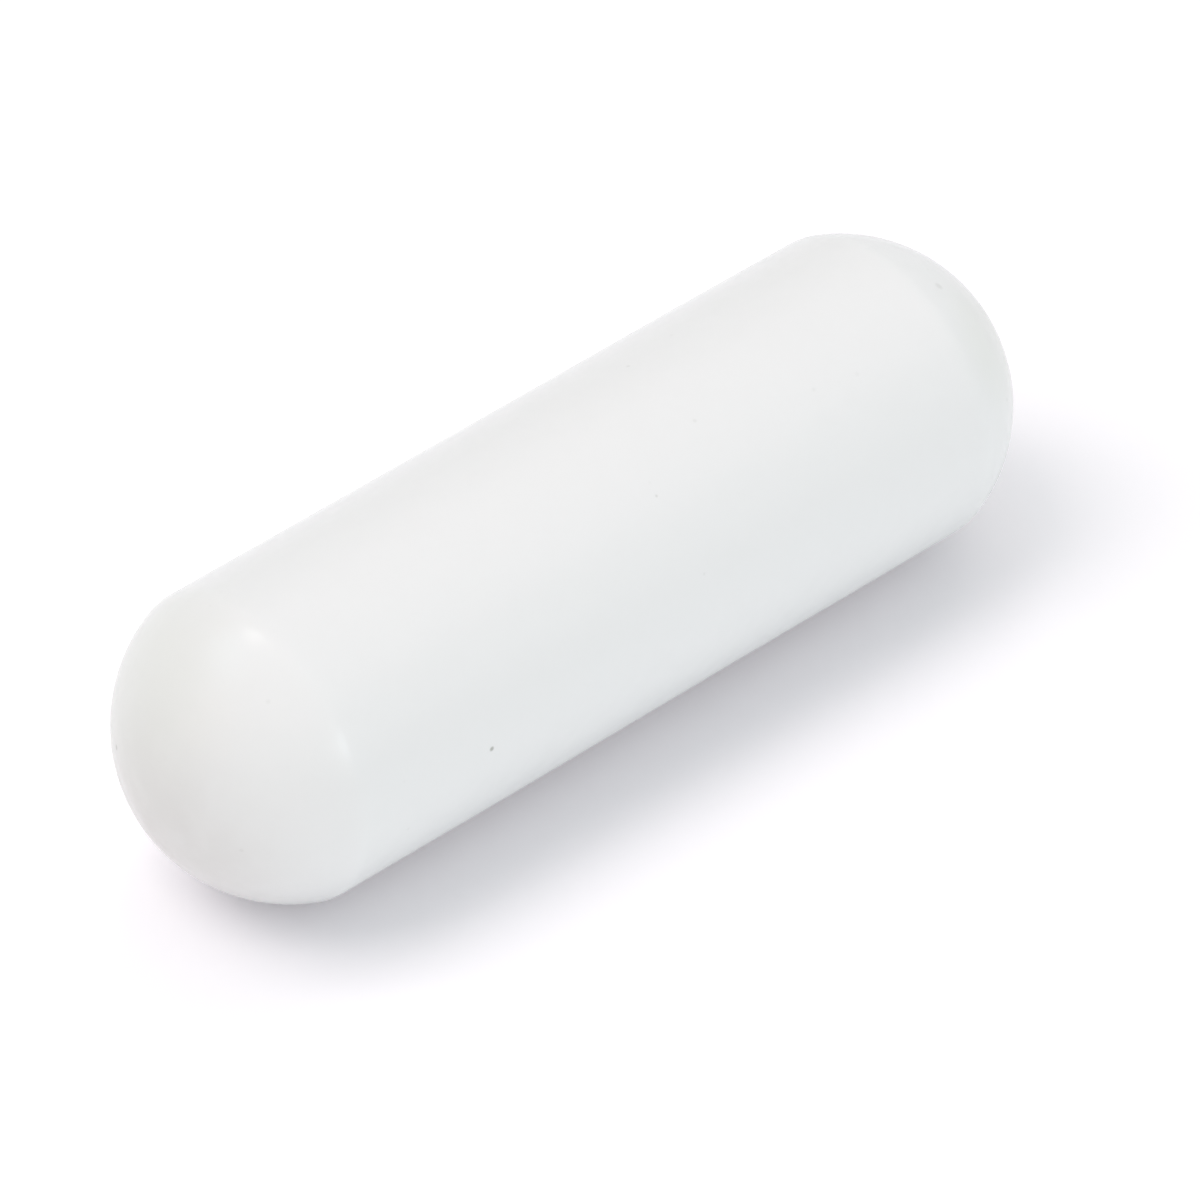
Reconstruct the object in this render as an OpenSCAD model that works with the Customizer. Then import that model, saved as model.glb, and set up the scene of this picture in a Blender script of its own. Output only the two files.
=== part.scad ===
// Magnetic stir bar: a plain round bar of PTFE with domed ends, moulded without a seam
// round an Alnico rod magnet. The bar lies along X with its middle at the origin.
// Every solid is a revolved section. In a section, x is the radius and y runs along the bar.

/* [Bar] */
// Length over the two domed ends
bar_len = 25.4; // [20:0.1:60]
// Diameter of the straight barrel
bar_d = 7.9; // [7.5:0.1:12]
// Height of each domed end above the barrel's rim
crown_h = 2.95; // [2:0.05:3.5]
// Radius of the soft round where a dome meets the barrel
rim_r = 1; // [0.2:0.05:1.5]

/* [Jacket] */
// Thickness of the jacket round the magnet's side
side_wall = 1.2; // [0.7:0.05:1.8]
// Thickness of the jacket from the magnet's end face to the tip of the dome
end_wall = 3.2; // [2.6:0.05:5]

/* [Magnet] */
// Size of the chamfer on each end of the magnet
magnet_chamfer = 0.3; // [0.1:0.05:0.6]
// Clearance all round the magnet; the jacket shrinks onto it, so there is none
magnet_gap = 0; // [0:0.01:0.05]

/* [Hidden] */
$fn = 128;

bar_r = bar_d / 2;
half_len = bar_len / 2;

// Radius of the spherical crown, and how far its centre lies from the middle of the bar
crown_r = (bar_r * bar_r + crown_h * crown_h) / (2 * crown_h);
crown_c = half_len - crown_r;

// The rim round touches the barrel's side and the crown from inside
rim_x = bar_r - rim_r;
rim_y = crown_c + sqrt(pow(crown_r - rim_r, 2) - pow(rim_x, 2));
// Angle of the point where the rim round runs into the crown, up from the radius
rim_angle = atan2(rim_y - crown_c, rim_x);

// The cavity in the jacket, and the magnet that fills it
cavity_r = bar_r - side_wall;
cavity_half = half_len - end_wall;
magnet_r = cavity_r - magnet_gap;
magnet_half = cavity_half - magnet_gap;

// Section of the outside from the middle of the bar to one tip, with its rim still sharp
module sharp_half_section() {
    intersection() {
        square([bar_r, half_len]);
        union() {
            square([bar_r, half_len - crown_h]);
            translate([0, crown_c])
                circle(r = crown_r);
        }
    }
}

// The sliver of the section that lies outside the rim round
module rim_waste() {
    over = 1.5 * rim_r;
    difference() {
        polygon([
            [rim_x, rim_y],
            [rim_x + over, rim_y],
            [rim_x + over, rim_y + over * tan(rim_angle)]
        ]);
        translate([rim_x, rim_y])
            circle(r = rim_r);
    }
}

// Section of the outside from the middle to one tip, with the soft rim
module half_section() {
    difference() {
        sharp_half_section();
        rim_waste();
    }
}

// Section of the whole outside
module outer_section() {
    half_section();
    mirror([0, 1])
        half_section();
}

// Section of a rod with a chamfer on each end
module rod_section(r, half, chamfer) {
    polygon([
        [0, -half],
        [r - chamfer, -half],
        [r, chamfer - half],
        [r, half - chamfer],
        [r - chamfer, half],
        [0, half]
    ]);
}

// The seamless jacket, with the closed cavity that the magnet fills
module ptfe_jacket() {
    color([0.94, 0.94, 0.93])
        rotate([0, 90, 0])
            rotate_extrude()
                difference() {
                    outer_section();
                    rod_section(cavity_r, cavity_half, magnet_chamfer);
                }
}

// The rod magnet, sealed in the jacket
module bar_magnet() {
    color([0.36, 0.35, 0.34])
        rotate([0, 90, 0])
            rotate_extrude()
                rod_section(magnet_r, magnet_half, magnet_chamfer);
}

ptfe_jacket();
bar_magnet();
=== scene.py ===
"""The looks of a magnetic stir bar: a moulded PTFE jacket, the alnico rod in it, and a pale studio."""

from __future__ import annotations

import logging
import math
from dataclasses import dataclass
from enum import Enum

import bmesh
import bpy
from mathutils import Matrix, Vector, noise

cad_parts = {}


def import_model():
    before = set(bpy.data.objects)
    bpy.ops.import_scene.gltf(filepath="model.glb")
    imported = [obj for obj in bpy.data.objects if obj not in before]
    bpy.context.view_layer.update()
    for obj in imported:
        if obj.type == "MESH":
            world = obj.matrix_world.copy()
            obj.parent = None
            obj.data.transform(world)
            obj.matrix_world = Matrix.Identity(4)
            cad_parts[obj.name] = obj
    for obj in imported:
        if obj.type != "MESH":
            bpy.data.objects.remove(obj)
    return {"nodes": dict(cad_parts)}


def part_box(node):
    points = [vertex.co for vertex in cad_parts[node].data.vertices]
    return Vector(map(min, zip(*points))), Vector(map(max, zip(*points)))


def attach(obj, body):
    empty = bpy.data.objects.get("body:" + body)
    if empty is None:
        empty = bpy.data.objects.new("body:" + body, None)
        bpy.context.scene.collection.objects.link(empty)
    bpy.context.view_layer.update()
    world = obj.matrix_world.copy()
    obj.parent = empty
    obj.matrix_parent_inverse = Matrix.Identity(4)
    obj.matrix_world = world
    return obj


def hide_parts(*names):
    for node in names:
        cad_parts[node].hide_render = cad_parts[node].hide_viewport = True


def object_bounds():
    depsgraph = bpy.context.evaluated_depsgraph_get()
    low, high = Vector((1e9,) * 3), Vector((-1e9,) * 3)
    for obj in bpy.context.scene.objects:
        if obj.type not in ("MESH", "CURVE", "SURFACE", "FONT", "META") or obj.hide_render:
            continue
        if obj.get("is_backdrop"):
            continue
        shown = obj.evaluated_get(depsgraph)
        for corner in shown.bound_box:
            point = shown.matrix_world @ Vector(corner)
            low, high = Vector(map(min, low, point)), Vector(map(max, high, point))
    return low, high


MM = 0.001
MERGE = 0.0005 * MM
FULL_TURN = 2.0 * math.pi
BODY = "root"
LOG = logging.getLogger("stir_bar")

Colour = tuple[float, float, float]
Rgba = tuple[float, float, float, float]
Place = tuple[float, float, float]
Node = bpy.types.Node
Socket = bpy.types.NodeSocket

WHITE: Colour = (1.0, 1.0, 1.0)


class CadNode(Enum):
    """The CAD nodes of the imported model."""

    JACKET = "ptfe_jacket"
    MAGNET = "bar_magnet"


class Slot(Enum):
    """The record's material slot for the new jacket, which this script doesn't assign. The CAD magnet
    keeps its own.
    """

    PTFE = "ptfe"


class Axis(Enum):
    """Directions in the frame: the bar lies along X and Z is up."""

    ALONG = Vector((1.0, 0.0, 0.0))
    ACROSS = Vector((0.0, 1.0, 0.0))


def rgba(colour: Colour) -> Rgba:
    """Gives an opaque colour for a node's socket."""
    return (*colour, 1.0)


class Graph:
    """Adds nodes to one node tree and links them."""

    # A Mix node repeats its socket names for each type of data, so its colour sockets go by number.
    MIX_INPUTS = (0, 6, 7)
    MIX_RESULT = 2

    def __init__(self, tree: bpy.types.NodeTree) -> None:
        """Takes the tree and empties it."""
        self.tree = tree
        self.tree.nodes.clear()

    def add(self, kind: str, **settings: object) -> Node:
        """Adds a node.

        Args:
            kind: the node's type, without the words ShaderNode.
            settings: its properties, by name.

        Returns:
            The new node.
        """
        name = kind if kind.startswith("NodeGroup") else "ShaderNode" + kind
        node = self.tree.nodes.new(name)
        for key, value in settings.items():
            setattr(node, key, value)
        return node

    def link(self, source: Socket, target: Socket) -> None:
        """Links one output to one input."""
        self.tree.links.new(source, target)

    def give(self, target: Socket, value: object) -> None:
        """Links an input to an output, or sets it to a plain value.

        Args:
            target: the input.
            value: an output socket, or the input's own value.
        """
        if isinstance(value, Socket):
            self.link(value, target)
        else:
            target.default_value = value

    def feed(self, node: Node, **inputs: object) -> Node:
        """Sets or links a node's inputs.

        Args:
            node: the node whose inputs are fed.
            inputs: a value or an output socket for each input, with _ for a space in its name.

        Returns:
            The same node.
        """
        for key, value in inputs.items():
            self.give(node.inputs[key.replace("_", " ")], value)
        return node

    def math(self, operation: str, *terms: float | Socket, clamp: bool = False) -> Socket:
        """Adds a Math node.

        Args:
            operation: what it works out, such as MULTIPLY.
            terms: a number or an output socket for each input.
            clamp: whether the result is held between 0 and 1.

        Returns:
            The node's output.
        """
        node = self.add("Math", operation=operation, use_clamp=clamp)
        for target, term in zip(node.inputs, terms):
            self.give(target, term)
        return node.outputs[0]

    def ramp(
        self, value: Socket, low: float, high: float, start: float = 0.0, end: float = 1.0
    ) -> Socket:
        """Eases a value from start to end as it goes from low to high.

        Args:
            value: the output that is eased.
            low: where the result is start.
            high: where the result is end.
            start: the result at low.
            end: the result at high.

        Returns:
            The eased value.
        """
        node = self.add("MapRange", interpolation_type="SMOOTHSTEP")
        self.feed(node, Value=value, From_Min=low, From_Max=high, To_Min=start, To_Max=end)
        return node.outputs["Result"]

    def mix(self, factor: Socket, first: Rgba | Socket, second: Rgba | Socket) -> Socket:
        """Mixes two colours.

        Args:
            factor: the share of the second colour.
            first: the first colour, plain or an output.
            second: the second colour, plain or an output.

        Returns:
            The mixed colour.
        """
        node = self.add("Mix", data_type="RGBA", blend_type="MIX")
        for number, value in zip(self.MIX_INPUTS, (factor, first, second)):
            self.give(node.inputs[number], value)
        return node.outputs[self.MIX_RESULT]

    def mix_shaders(self, factor: Socket, first: Node, second: Node) -> Node:
        """Adds a Mix Shader node.

        Args:
            factor: the share of the second shader.
            first: the first shader.
            second: the second shader.

        Returns:
            The new node.
        """
        node = self.add("MixShader")
        for target, value in zip(node.inputs, (factor, first.outputs[0], second.outputs[0])):
            self.link(value, target)
        return node

    def light(self, kind: str, colour: Colour, strength: float | Socket) -> Node:
        """Adds a shader that gives light, such as Emission or Background."""
        return self.feed(self.add(kind), Color=rgba(colour), Strength=strength)

    def close(self, kind: str, shader: Node) -> None:
        """Links a shader to a new output node of the given kind."""
        self.link(shader.outputs[0], self.add(kind).inputs["Surface"])


class Coat:
    """A material in the making: its graph and the object coordinates that its patterns follow."""

    def __init__(self, name: str) -> None:
        """Starts an empty material.

        Args:
            name: the material's name.
        """
        self.material = bpy.data.materials.new(name)
        self.material.use_nodes = True
        self.graph = Graph(self.material.node_tree)
        self.place = self.graph.add("TexCoord").outputs["Object"]

    def group(self, tree: bpy.types.NodeTree, **inputs: float | Place) -> Socket:
        """Adds a shared group that reads the object coordinates.

        Args:
            tree: the group.
            inputs: its values, by name.

        Returns:
            The group's output.
        """
        node = self.graph.add("Group", node_tree=tree)
        return self.graph.feed(node, Vector=self.place, **inputs).outputs[0]

    def bump(self, height: Socket, strength: float, depth: float) -> Socket:
        """Turns a height into a normal.

        Args:
            height: the height, from 0 to about 1.
            strength: how much of it shows.
            depth: the length that a height of 1 stands for, in metres.

        Returns:
            The normal.
        """
        node = self.graph.add("Bump")
        return self.graph.feed(node, Strength=strength, Distance=depth, Height=height).outputs["Normal"]

    def close(self, shader: Node) -> bpy.types.Material:
        """Links the shader to the material's output and gives the material."""
        self.graph.close("OutputMaterial", shader)
        return self.material


@dataclass(frozen=True)
class Grain:
    """Soft lumps and a fine grain, both in waves per metre, and the fine one's share of the height."""

    soft: float
    fine: float
    share: float


@dataclass(frozen=True)
class Inclusions:
    """Scattered specks: cells per metre, a speck's part of its cell, and the share that hold one."""

    density: float
    radius: float
    share: float


@dataclass(frozen=True)
class Spot:
    """A round mark on the skin, with its place and radius in millimetres."""

    centre: Place
    radius: float
    strength: float


@dataclass(frozen=True)
class Patches:
    """A noise pattern of so many waves per metre, eased from start to end between low and high."""

    scale: float
    detail: float
    low: float
    high: float
    start: float
    end: float
    distortion: float = 0.0

    def value(self, coat: Coat) -> Socket:
        """Adds the pattern to a material.

        Args:
            coat: the material.

        Returns:
            The eased value.
        """
        node = coat.graph.add("TexNoise", noise_dimensions="3D")
        coat.graph.feed(
            node, Vector=coat.place, Scale=self.scale, Detail=self.detail, Distortion=self.distortion
        )
        return coat.graph.ramp(node.outputs[0], self.low, self.high, self.start, self.end)


class SurfaceEffects:
    """The shader node groups that the finishes share, each built once."""

    def __init__(self) -> None:
        """Builds the groups."""
        self._grain_group = self._build_grain()
        self._inclusions_group = self._build_inclusions()
        self._spot_group = self._build_spot()

    def grain(self, coat: Coat, grain: Grain) -> Socket:
        """Adds a grain to a material and gives its height."""
        return coat.group(self._grain_group, Soft=grain.soft, Fine=grain.fine, Share=grain.share)

    def inclusions(self, coat: Coat, specks: Inclusions) -> Socket:
        """Adds scattered specks to a material and gives their mask."""
        values = {"Density": specks.density, "Radius": specks.radius, "Share": specks.share}
        return coat.group(self._inclusions_group, **values)

    def spots(self, coat: Coat, spots: tuple[Spot, ...]) -> Socket:
        """Adds spots to a material and joins them into one mask.

        Args:
            coat: the material.
            spots: the spots.

        Returns:
            The mask.
        """
        mask: float | Socket = 0.0
        for spot in spots:
            x, y, z = spot.centre
            centre = (x * MM, y * MM, z * MM)
            shape = coat.group(self._spot_group, Centre=centre, Radius=spot.radius * MM)
            mask = coat.graph.math("MAXIMUM", mask, coat.graph.math("MULTIPLY", shape, spot.strength))
        return mask

    @staticmethod
    def _start(name: str, inputs: dict[str, float | Place], output: str) -> tuple[Graph, Node, Node]:
        """Starts a group that reads a vector and gives one value.

        Args:
            name: the group's name.
            inputs: the name and default of each further number or place that it takes.
            output: the name of what it gives.

        Returns:
            The group's graph, its input node and its output node.
        """
        tree = bpy.data.node_groups.new(name, "ShaderNodeTree")
        tree.interface.new_socket("Vector", in_out="INPUT", socket_type="NodeSocketVector")
        for key, value in inputs.items():
            kind = "NodeSocketVector" if isinstance(value, tuple) else "NodeSocketFloat"
            tree.interface.new_socket(key, in_out="INPUT", socket_type=kind).default_value = value
        tree.interface.new_socket(output, in_out="OUTPUT", socket_type="NodeSocketFloat")
        graph = Graph(tree)
        return graph, graph.add("NodeGroupInput"), graph.add("NodeGroupOutput")

    def _build_grain(self) -> bpy.types.NodeTree:
        """Makes a height that rises and falls at two sizes, a soft one and a fine one on top.

        Returns:
            The group. Soft and Fine are the waves per metre, and Share is the fine one's part.
        """
        defaults = {"Soft": 600.0, "Fine": 6000.0, "Share": 0.2}
        graph, source, sink = self._start("surface_grain", defaults, "Height")
        place = source.outputs["Vector"]
        soft = graph.add("TexNoise", noise_dimensions="3D")
        graph.feed(soft, Vector=place, Scale=source.outputs["Soft"], Detail=2.0)
        fine = graph.add("TexNoise", noise_dimensions="3D")
        graph.feed(fine, Vector=place, Scale=source.outputs["Fine"], Detail=3.0)
        part = graph.math("MULTIPLY", fine.outputs[0], source.outputs["Share"])
        graph.link(graph.math("ADD", soft.outputs[0], part), sink.inputs["Height"])
        return graph.tree

    def _build_inclusions(self) -> bpy.types.NodeTree:
        """Makes scattered round spots, of all strengths from none to full.

        Returns:
            The group. Density is the cells per metre, Radius the spot's part of a cell, and Share
            the part of the cells that hold one.
        """
        defaults = {"Density": 1000.0, "Radius": 0.08, "Share": 0.5}
        graph, source, sink = self._start("inclusions", defaults, "Mask")
        share = source.outputs["Share"]
        cells = graph.add("TexVoronoi", voronoi_dimensions="3D", feature="F1")
        graph.feed(cells, Vector=source.outputs["Vector"], Scale=source.outputs["Density"])
        edge = graph.math("DIVIDE", cells.outputs["Distance"], source.outputs["Radius"])
        spot = graph.ramp(edge, low=0.4, high=1.0, start=1.0, end=0.0)
        pick = graph.feed(graph.add("SeparateColor"), Color=cells.outputs["Color"])
        above = graph.math("SUBTRACT", pick.outputs["Red"], graph.math("SUBTRACT", 1.0, share))
        strength = graph.math("DIVIDE", above, share, clamp=True)
        graph.link(graph.math("MULTIPLY", spot, strength), sink.inputs["Mask"])
        return graph.tree

    def _build_spot(self) -> bpy.types.NodeTree:
        """Makes one round spot at a chosen place.

        Returns:
            The group. Centre is the place, and Radius is where the spot ends.
        """
        defaults = {"Centre": (0.0, 0.0, 0.0), "Radius": 1.0 * MM}
        graph, source, sink = self._start("spot", defaults, "Mask")
        away = graph.add("VectorMath", operation="DISTANCE")
        graph.link(source.outputs["Vector"], away.inputs[0])
        graph.link(source.outputs["Centre"], away.inputs[1])
        edge = graph.math("DIVIDE", away.outputs["Value"], source.outputs["Radius"])
        graph.link(graph.ramp(edge, low=0.3, high=1.0, start=1.0, end=0.0), sink.inputs["Mask"])
        return graph.tree


@dataclass(frozen=True)
class PtfeFinish:
    """White PTFE as moulded: waxy, softly lit from within, with a fine grain and a few specks."""

    body: Colour = (0.914, 0.896, 0.897)
    # A slightly darker, yellowish tone for patches on both domes.
    yellowish: Colour = (0.872, 0.866, 0.832)
    # The colour of the wear on the far end and of the painted shade under the near end, where it faces
    # the table.
    worn_and_shaded: Colour = (0.80, 0.775, 0.765)
    speck: Colour = (0.42, 0.41, 0.38)
    translucence: float = 0.6
    scatter: float = 0.25 * MM
    scatter_by_colour: Colour = (1.0, 1.0, 1.0)
    refraction: float = 1.36
    gloss: Patches = Patches(450.0, 4.0, low=0.3, high=0.7, start=0.235, end=0.265, distortion=0.6)
    # Mottles the far end's wear and the painted shade under the near end.
    wear_and_shade_mottle: Patches = Patches(900.0, 3.0, low=0.3, high=0.6, start=0.6, end=1.0)
    grain: Grain = Grain(soft=650.0, fine=7000.0, share=0.05)
    relief_strength: float = 0.5
    relief_depth: float = 0.05 * MM
    scattered: Inclusions = Inclusions(density=1100.0, radius=0.075, share=0.45)
    scattered_strength: float = 0.15
    specks: tuple[Spot, ...] = (
        Spot((-5.9, -3.94, 0.25), 0.09, 0.8),
        Spot((-12.3, 1.75, 0.35), 0.10, 0.5),
        Spot((-12.2, 1.5, -1.2), 0.12, 0.7),
        Spot((10.5, -1.3, 3.42), 0.15, 0.2),
        Spot((0.57, -2.36, 3.17), 0.055, 0.25),
        Spot((-10.7, -1.77, 3.05), 0.08, 0.07),
        Spot((5.73, -2.1, 3.35), 0.08, 0.07),
        Spot((6.96, -2.26, 3.24), 0.08, 0.06),
    )
    # Slightly darker, yellowish patches on both domes.
    yellowish_patches: tuple[Spot, ...] = (
        Spot((-11.8, 1.6, 2.0), 3.6, 0.55),
        Spot((12.0, -1.2, -1.5), 3.0, 0.4),
        Spot((11.3, -2.4, 2.0), 2.2, 0.6),
    )
    # The first two spots are painted shade on the near end's underside, by the table; the last is wear
    # on the far end.
    tip_wear_and_shade: tuple[Spot, ...] = (
        Spot((-12.4, 0.1, -1.2), 4.2, 0.6),
        Spot((-12.2, 0.9, -1.5), 2.8, 1.0),
        Spot((12.5, -0.5, 0.9), 3.4, 0.5),
    )

    def build(self, effects: SurfaceEffects) -> bpy.types.Material:
        """Makes the material.

        Args:
            effects: the shared node groups.

        Returns:
            The material.
        """
        coat = Coat("ptfe_moulded")
        shader = coat.graph.add("BsdfPrincipled", subsurface_method="RANDOM_WALK")
        grain = effects.grain(coat, self.grain)
        coat.graph.feed(
            shader,
            Base_Color=self._colour(coat, effects),
            Roughness=self.gloss.value(coat),
            Normal=coat.bump(grain, self.relief_strength, self.relief_depth),
            Subsurface_Weight=self.translucence,
            Subsurface_Radius=self.scatter_by_colour,
            Subsurface_Scale=self.scatter,
            IOR=self.refraction,
        )
        return coat.close(shader)

    def _colour(self, coat: Coat, effects: SurfaceEffects) -> Socket:
        """Adds yellowish dome patches, painted shade under the near end, wear on the far end, and
        specks.

        Args:
            coat: the material.
            effects: the shared node groups.

        Returns:
            The colour.
        """
        graph = coat.graph
        # Painted shade under the near end, and wear on the far end.
        tip_wear_and_shade = graph.math("MULTIPLY", effects.spots(coat, self.tip_wear_and_shade), self.wear_and_shade_mottle.value(coat))
        # Slightly darker, yellowish patches on both domes.
        yellowish = graph.mix(effects.spots(coat, self.yellowish_patches), rgba(self.body), rgba(self.yellowish))
        skin = graph.mix(tip_wear_and_shade, yellowish, rgba(self.worn_and_shaded))
        scattered = effects.inclusions(coat, self.scattered)
        faint = graph.math("MULTIPLY", scattered, self.scattered_strength)
        dark = graph.math("MAXIMUM", faint, effects.spots(coat, self.specks))
        return graph.mix(dark, skin, rgba(self.speck))


@dataclass(frozen=True)
class AlnicoFinish:
    """Cast alnico, ground round its side and sawn on its ends."""

    metal: Colour = (0.33, 0.315, 0.30)
    stain: Colour = (0.20, 0.185, 0.17)
    roughness: float = 0.38
    stained_roughness: float = 0.58
    grain: Grain = Grain(soft=1500.0, fine=9000.0, share=0.4)
    pits: Inclusions = Inclusions(density=1600.0, radius=0.2, share=0.4)
    rings_per_metre: float = 2600.0
    ring_height: float = 0.3
    relief_strength: float = 0.5
    relief_depth: float = 0.02 * MM

    def build(self, effects: SurfaceEffects) -> bpy.types.Material:
        """Makes the material.

        Args:
            effects: the shared node groups.

        Returns:
            The material.
        """
        coat = Coat("alnico_ground")
        graph = coat.graph
        rings = graph.add("TexWave", wave_type="BANDS", bands_direction="X", wave_profile="SAW")
        graph.feed(rings, Vector=coat.place, Scale=self.rings_per_metre, Distortion=1.5, Detail=3.0)
        pits = effects.inclusions(coat, self.pits)
        grain = effects.grain(coat, self.grain)
        stained = graph.mix(graph.ramp(grain, low=0.5, high=0.9), rgba(self.metal), rgba(self.stain))
        ground = graph.math("MULTIPLY_ADD", rings.outputs["Fac"], self.ring_height, grain)
        height = graph.math("SUBTRACT", ground, pits)
        shader = graph.feed(
            graph.add("BsdfPrincipled"),
            Metallic=1.0,
            Base_Color=graph.mix(pits, stained, rgba(self.stain)),
            Roughness=graph.ramp(
                grain, low=0.3, high=0.9, start=self.roughness, end=self.stained_roughness
            ),
            Normal=coat.bump(height, self.relief_strength, self.relief_depth),
        )
        return coat.close(shader)


@dataclass
class MouldedJacket:
    """The seamless jacket: a barrel with two domes outside, and the closed cavity inside.

    Its sizes are in metres. The outside comes from the jacket's box and the cavity from the magnet's.
    """

    half_length: float
    radius: float
    cavity_half: float
    cavity_radius: float
    crown_height: float = 2.95 * MM
    rim_round: float = 1.0 * MM
    chamfer: float = 0.3 * MM
    waver: float = 0.03 * MM
    waver_length: float = 5.0 * MM
    turn_steps: int = 160
    crown_steps: int = 36
    rim_steps: int = 8
    barrel_cuts: int = 31

    @classmethod
    def from_frame(cls) -> MouldedJacket:
        """Reads the jacket's and the cavity's sizes from the CAD boxes.

        Returns:
            The jacket, ready to build.
        """
        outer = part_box(CadNode.JACKET.value)[1]
        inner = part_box(CadNode.MAGNET.value)[1]
        return cls(outer.x, outer.z, inner.x, inner.z)

    def build(self, finish: bpy.types.Material) -> bpy.types.Object:
        """Makes the jacket's object.

        Args:
            finish: its material.

        Returns:
            The object, at the origin, with its place in its mesh.
        """
        bm = self._outside()
        self._waver(bm)
        cavity = bpy.data.meshes.new("cavity")
        inner = self._cavity()
        inner.to_mesh(cavity)
        inner.free()
        bm.from_mesh(cavity)
        bpy.data.meshes.remove(cavity)
        mesh = bpy.data.meshes.new("moulded_jacket")
        bm.to_mesh(mesh)
        bm.free()
        mesh.materials.append(finish)
        jacket = bpy.data.objects.new("moulded_jacket", mesh)
        bpy.context.scene.collection.objects.link(jacket)
        return jacket

    def _outside(self) -> bmesh.types.BMesh:
        """Revolves the outer section.

        Returns:
            The closed outer shell, facing outwards.
        """
        crown_radius = (self.radius**2 + self.crown_height**2) / (2.0 * self.crown_height)
        crown_centre = self.half_length - crown_radius
        rim_up = self.radius - self.rim_round
        rim_along = crown_centre + math.sqrt((crown_radius - self.rim_round) ** 2 - rim_up**2)
        rim_angle = math.atan2(rim_along - crown_centre, rim_up)
        bm = bmesh.new()
        point = bm.verts.new((self.half_length, 0.0, 0.0))
        crown = (crown_centre, 0.0, 0.0)
        point = self._arc(bm, point, crown, math.pi / 2.0 - rim_angle, self.crown_steps)
        rim = (rim_along, 0.0, rim_up)
        point = self._arc(bm, point, rim, rim_angle, self.rim_steps)
        line = bmesh.ops.extrude_vert_indiv(bm, verts=[point])
        line["verts"][0].co = Vector((0.0, 0.0, self.radius))
        bmesh.ops.subdivide_edges(bm, edges=line["edges"], cuts=self.barrel_cuts)
        self._mirror(bm)
        self._revolve(bm)
        for face in bm.faces:
            face.smooth = True
        return bm

    def _cavity(self) -> bmesh.types.BMesh:
        """Revolves the cavity's section.

        Returns:
            The closed shell of the cavity, facing into it.
        """
        bm = bmesh.new()
        point = bm.verts.new((self.cavity_half, 0.0, 0.0))
        corners = (
            (self.cavity_half, self.cavity_radius - self.chamfer),
            (self.cavity_half - self.chamfer, self.cavity_radius),
            (0.0, self.cavity_radius),
        )
        for along, up in corners:
            point = bmesh.ops.extrude_vert_indiv(bm, verts=[point])["verts"][0]
            point.co = Vector((along, 0.0, up))
        self._mirror(bm)
        self._revolve(bm)
        bmesh.ops.reverse_faces(bm, faces=bm.faces[:])
        return bm

    @staticmethod
    def _arc(
        bm: bmesh.types.BMesh, start: bmesh.types.BMVert, centre: Place, angle: float, steps: int
    ) -> bmesh.types.BMVert:
        """Sweeps a point up round a centre.

        Args:
            bm: the section.
            start: the point that is swept.
            centre: the arc's centre.
            angle: how far it goes, in radians.
            steps: the number of edges.

        Returns:
            The arc's last point.
        """
        swept = bmesh.ops.spin(
            bm, geom=[start], cent=centre, axis=-Axis.ACROSS.value, angle=angle, steps=steps
        )
        return next(part for part in swept["geom_last"] if isinstance(part, bmesh.types.BMVert))

    @staticmethod
    def _mirror(bm: bmesh.types.BMesh) -> None:
        """Adds the other end of the section."""
        parts = bm.verts[:] + bm.edges[:]
        bmesh.ops.mirror(bm, geom=parts, matrix=Matrix.Identity(4), merge_dist=MERGE, axis="X")

    def _revolve(self, bm: bmesh.types.BMesh) -> None:
        """Turns a section about the bar's axis and closes the two poles.

        Args:
            bm: the section, which becomes the closed shell.
        """
        bmesh.ops.spin(
            bm,
            geom=bm.verts[:] + bm.edges[:],
            cent=(0.0, 0.0, 0.0),
            axis=Axis.ALONG.value,
            angle=FULL_TURN,
            steps=self.turn_steps,
            use_merge=True,
        )
        bmesh.ops.remove_doubles(bm, verts=bm.verts[:], dist=MERGE)
        bmesh.ops.recalc_face_normals(bm, faces=bm.faces[:])

    def _waver(self, bm: bmesh.types.BMesh) -> None:
        """Draws the skin in by a few hundredths of a millimetre here and there, as moulding leaves it.

        Args:
            bm: the outer shell.
        """
        bm.normal_update()
        for vert in bm.verts:
            swell = 0.5 + 0.5 * noise.noise(vert.co / self.waver_length)
            vert.co -= vert.normal * self.waver * swell


class Receiver(Enum):
    """What a lamp lights: the bar, or the table, which it turns plain white round the shadow."""

    BAR = "lit_bar"
    TABLE = "lit_table"

    def collection(self) -> bpy.types.Collection:
        """Gives the collection of what is lit, made when it is first asked for."""
        return bpy.data.collections.get(self.value) or bpy.data.collections.new(self.value)


def direction(azimuth: float, elevation: float) -> Vector:
    """Finds the way from the bar to something round it.

    Args:
        azimuth: the turn from -Y towards +X, in degrees.
        elevation: the height above the horizon, in degrees.

    Returns:
        The unit vector.
    """
    turn = math.radians(azimuth)
    rise = math.radians(elevation)
    return Vector((math.sin(turn) * math.cos(rise), -math.cos(turn) * math.cos(rise), math.sin(rise)))


def place_facing_bar(
    holder: bpy.types.Object, azimuth: float, elevation: float, distance: float
) -> None:
    """Puts a lamp or a camera in the scene, turned towards the bar.

    Args:
        holder: the object that carries it.
        azimuth: the turn from -Y towards +X, in degrees.
        elevation: the height above the horizon, in degrees.
        distance: how far it is from the bar's middle, in metres.
    """
    towards = direction(azimuth, elevation)
    holder.location = towards * distance
    holder.rotation_mode = "QUATERNION"
    holder.rotation_quaternion = towards.to_track_quat("Z", "Y")
    bpy.context.scene.collection.objects.link(holder)


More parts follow.
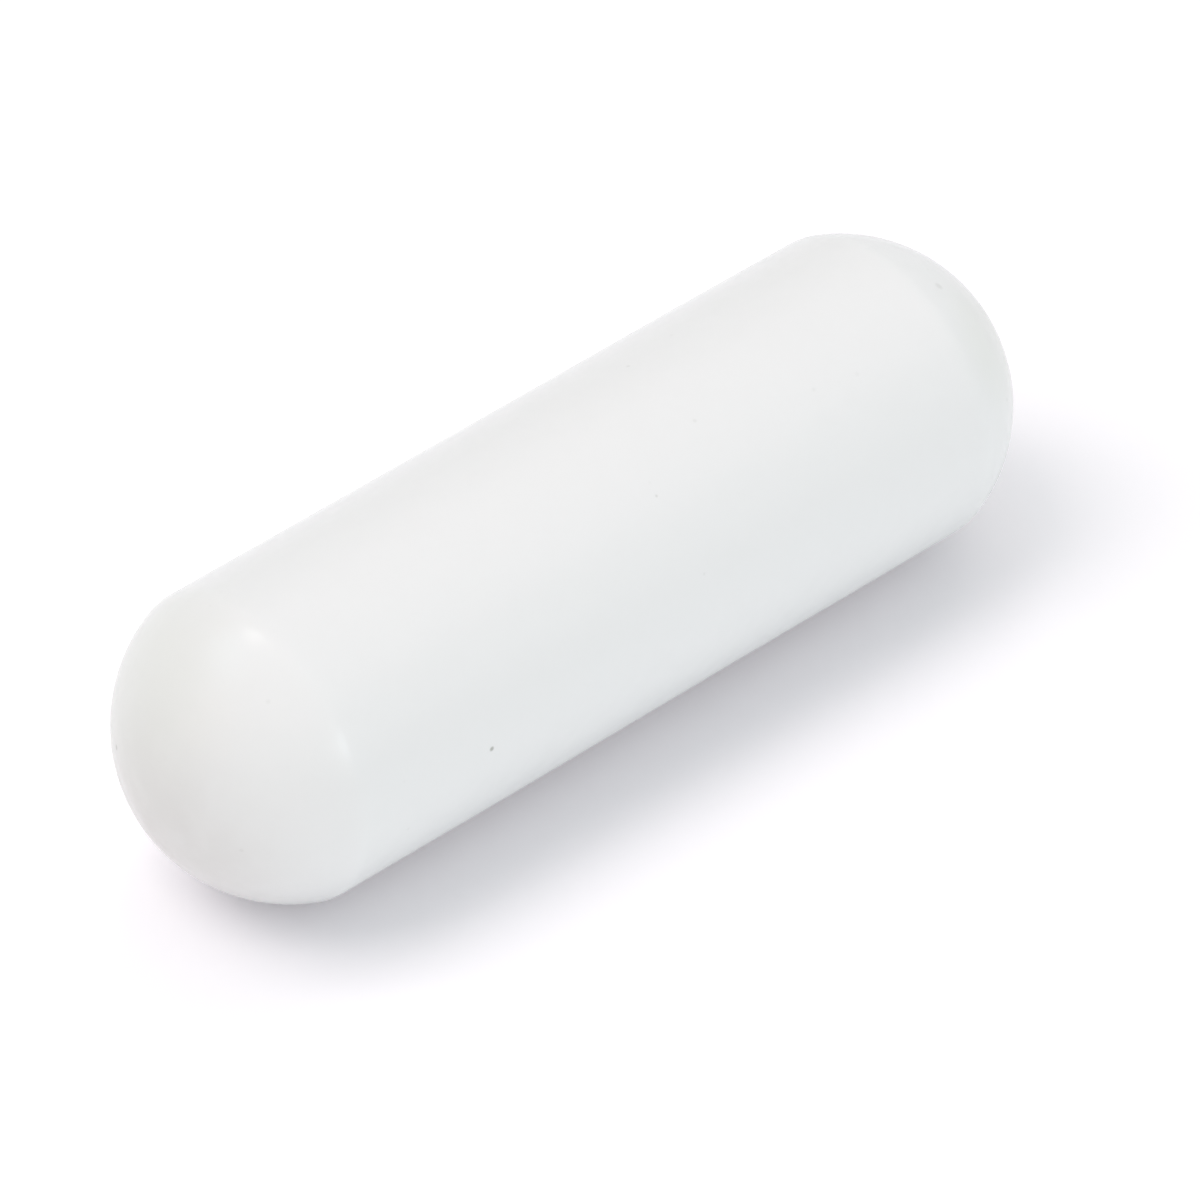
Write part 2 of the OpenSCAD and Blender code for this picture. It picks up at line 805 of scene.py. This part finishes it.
@dataclass(frozen=True)
class Softbox:
    """A rectangular lamp that faces the bar. Sizes are in metres and angles in degrees."""

    name: str
    receiver: Receiver
    azimuth: float
    elevation: float
    width: float
    height: float
    radiance: float
    colour: Colour = WHITE
    distance: float = 0.30

    def hang(self) -> None:
        """Adds the lamp to the scene."""
        lamp = bpy.data.lights.new(self.name, "AREA")
        lamp.shape = "RECTANGLE"
        lamp.size = self.width
        lamp.size_y = self.height
        lamp.color = self.colour
        lamp.energy = self.radiance * math.pi * self.width * self.height
        holder = bpy.data.objects.new(self.name, lamp)
        holder.light_linking.receiver_collection = self.receiver.collection()
        place_facing_bar(holder, self.azimuth, self.elevation, self.distance)


@dataclass(frozen=True)
class Camera:
    """The camera, which looks down on the bar with its near end to the left."""

    azimuth: float = -42.0
    elevation: float = 40.0
    distance: float = 261.6 * MM
    lens: float = 338.2
    shift: tuple[float, float] = (0.0255, -0.0307)
    nearest: float = 10.0 * MM

    def set_up(self) -> None:
        """Adds the camera and makes it the scene's own."""
        lens = bpy.data.cameras.new("camera")
        lens.lens = self.lens
        lens.shift_x, lens.shift_y = self.shift
        lens.clip_start = self.nearest
        camera = bpy.data.objects.new("camera", lens)
        place_facing_bar(camera, self.azimuth, self.elevation, self.distance)
        bpy.context.scene.camera = camera


@dataclass(frozen=True)
class Studio:
    """The pale table, the white surround, the lamps and the camera."""

    floor_level: float
    table_half: float = 0.6
    fill: float = 0.54
    fill_colour: Colour = (0.88, 1.0, 0.98)
    sweep_start: float = 40.0 * MM
    sweep_end: float = 90.0 * MM
    table_colour: Colour = (0.90, 0.89, 0.92)
    table_glow: float = 0.182
    glow_colour: Colour = (1.0, 0.87, 0.93)
    camera: Camera = Camera()
    softboxes: tuple[Softbox, ...] = (
        Softbox(
            "table_key", Receiver.TABLE, azimuth=240.0, elevation=60.0,
            width=0.20, height=0.20, radiance=3.27, colour=(1.0, 0.905, 0.90),
        ),
        Softbox(
            "table_back", Receiver.TABLE, azimuth=120.0, elevation=60.0,
            width=0.20, height=0.20, radiance=1.2, colour=(1.0, 0.88, 0.87),
        ),
        Softbox(
            "table_top", Receiver.TABLE, azimuth=180.0, elevation=80.0,
            width=0.08, height=0.08, radiance=1.77, colour=(0.96, 0.98, 1.0),
        ),
        Softbox(
            "top", Receiver.BAR, azimuth=290.0, elevation=87.0,
            width=0.70, height=0.70, radiance=0.43, colour=(1.0, 0.76, 0.79),
        ),
        Softbox(
            "back", Receiver.BAR, azimuth=199.0, elevation=67.0,
            width=0.03, height=0.036, radiance=12.5,
        ),
        Softbox(
            "upper_left", Receiver.BAR, azimuth=223.2, elevation=79.4,
            width=0.11, height=0.11, radiance=0.90, colour=(0.91, 0.98, 1.0),
        ),
        Softbox(
            "left", Receiver.BAR, azimuth=225.6, elevation=53.4,
            width=0.17, height=0.11, radiance=1.45, colour=(0.70, 0.96, 1.0),
        ),
        Softbox(
            "low_left", Receiver.BAR, azimuth=260.0, elevation=25.0,
            width=0.20, height=0.20, radiance=0.36, colour=(1.0, 0.46, 0.22),
        ),
        Softbox(
            "front", Receiver.BAR, azimuth=6.0, elevation=20.0,
            width=0.17, height=0.07, radiance=4.0, colour=(0.86, 0.975, 0.995),
        ),
    )

    def build(self) -> None:
        """Sets up everything round the bar."""
        self._view_settings()
        self._surround()
        self._table()
        for softbox in self.softboxes:
            softbox.hang()
            LOG.info("lamp %s", softbox.name)
        self.camera.set_up()

    @staticmethod
    def _view_settings() -> None:
        """Shows colours as they are written."""
        bpy.context.scene.view_settings.view_transform = "Standard"

    @staticmethod
    def _seen(graph: Graph) -> Socket:
        """Finds the rays that see the surround as white: camera, glossy and transmission rays.

        Args:
            graph: the graph that asks.

        Returns:
            1 on those rays and 0 on others.
        """
        rays = graph.add("LightPath").outputs
        seen = graph.math("ADD", rays["Is Camera Ray"], rays["Is Glossy Ray"], clamp=True)
        return graph.math("ADD", seen, rays["Is Transmission Ray"], clamp=True)

    def _surround(self) -> None:
        """Makes the world: white to look at, and softer as a light."""
        world = bpy.data.worlds.new("white_surround")
        world.use_nodes = True
        graph = Graph(world.node_tree)
        lit = graph.light("Background", self.fill_colour, self.fill)
        white = graph.light("Background", WHITE, 1.0)
        graph.close("OutputWorld", graph.mix_shaders(self._seen(graph), lit, white))
        bpy.context.scene.world = world

    def _table(self) -> None:
        """Makes the table. It keeps the shadow near the bar and is plain white further out."""
        bm = bmesh.new()
        lift = Matrix.Translation((0.0, 0.0, self.floor_level))
        bmesh.ops.create_grid(bm, x_segments=1, y_segments=1, size=self.table_half, matrix=lift)
        mesh = bpy.data.meshes.new("table")
        bm.to_mesh(mesh)
        bm.free()
        mesh.materials.append(self._table_finish())
        table = bpy.data.objects.new("table", mesh)
        bpy.context.scene.collection.objects.link(table)
        Receiver.TABLE.collection().objects.link(table)
        table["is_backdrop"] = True

    def _table_finish(self) -> bpy.types.Material:
        """Makes the table's material.

        Returns:
            The material, which is clear from below.
        """
        coat = Coat("pale_table")
        graph = coat.graph
        seen = self._seen(graph)
        near = graph.feed(graph.add("BsdfDiffuse"), Color=rgba(self.table_colour))
        glow = graph.light("Emission", self.glow_colour, graph.math("MULTIPLY", seen, self.table_glow))
        lit = graph.add("AddShader")
        graph.link(near.outputs[0], lit.inputs[0])
        graph.link(glow.outputs[0], lit.inputs[1])
        reach = graph.add("VectorMath", operation="LENGTH")
        graph.link(coat.place, reach.inputs[0])
        far = graph.ramp(reach.outputs["Value"], self.sweep_start, self.sweep_end)
        white = graph.light("Emission", WHITE, 1.0)
        outer = graph.mix_shaders(graph.math("MULTIPLY", far, seen), lit, white)
        below = graph.add("NewGeometry").outputs["Backfacing"]
        return coat.close(graph.mix_shaders(below, outer, graph.add("BsdfTransparent")))


class StirBar:
    """The whole bar: the jacket in place of the CAD one, and the CAD magnet with its metal."""

    def __init__(self, nodes: dict[str, bpy.types.Object]) -> None:
        """Takes the CAD nodes."""
        self.nodes = nodes
        self.effects = SurfaceEffects()

    def dress_jacket(self) -> None:
        """Makes the jacket and sets it in place of the CAD node."""
        jacket = MouldedJacket.from_frame().build(PtfeFinish().build(self.effects))
        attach(jacket, BODY)
        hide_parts(CadNode.JACKET.value)
        Receiver.BAR.collection().objects.link(jacket)
        LOG.info("jacket: %d faces", len(jacket.data.polygons))

    def dress_magnet(self) -> None:
        """Gives the CAD magnet its finish."""
        magnet = self.nodes[CadNode.MAGNET.value]
        finish = AlnicoFinish().build(self.effects)
        for holder in magnet.material_slots:
            holder.material = finish
        Receiver.BAR.collection().objects.link(magnet)
        LOG.info("magnet: %d slots dressed", len(magnet.material_slots))


def main() -> None:
    """Loads the frame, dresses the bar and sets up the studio."""
    logging.basicConfig(level=logging.INFO, format="%(name)s: %(message)s")
    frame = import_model()
    cad_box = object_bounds()
    bar = StirBar(frame["nodes"])
    bar.dress_jacket()
    bar.dress_magnet()
    Studio(floor_level=cad_box[0].z).build()


if __name__ == "__main__":
    main()
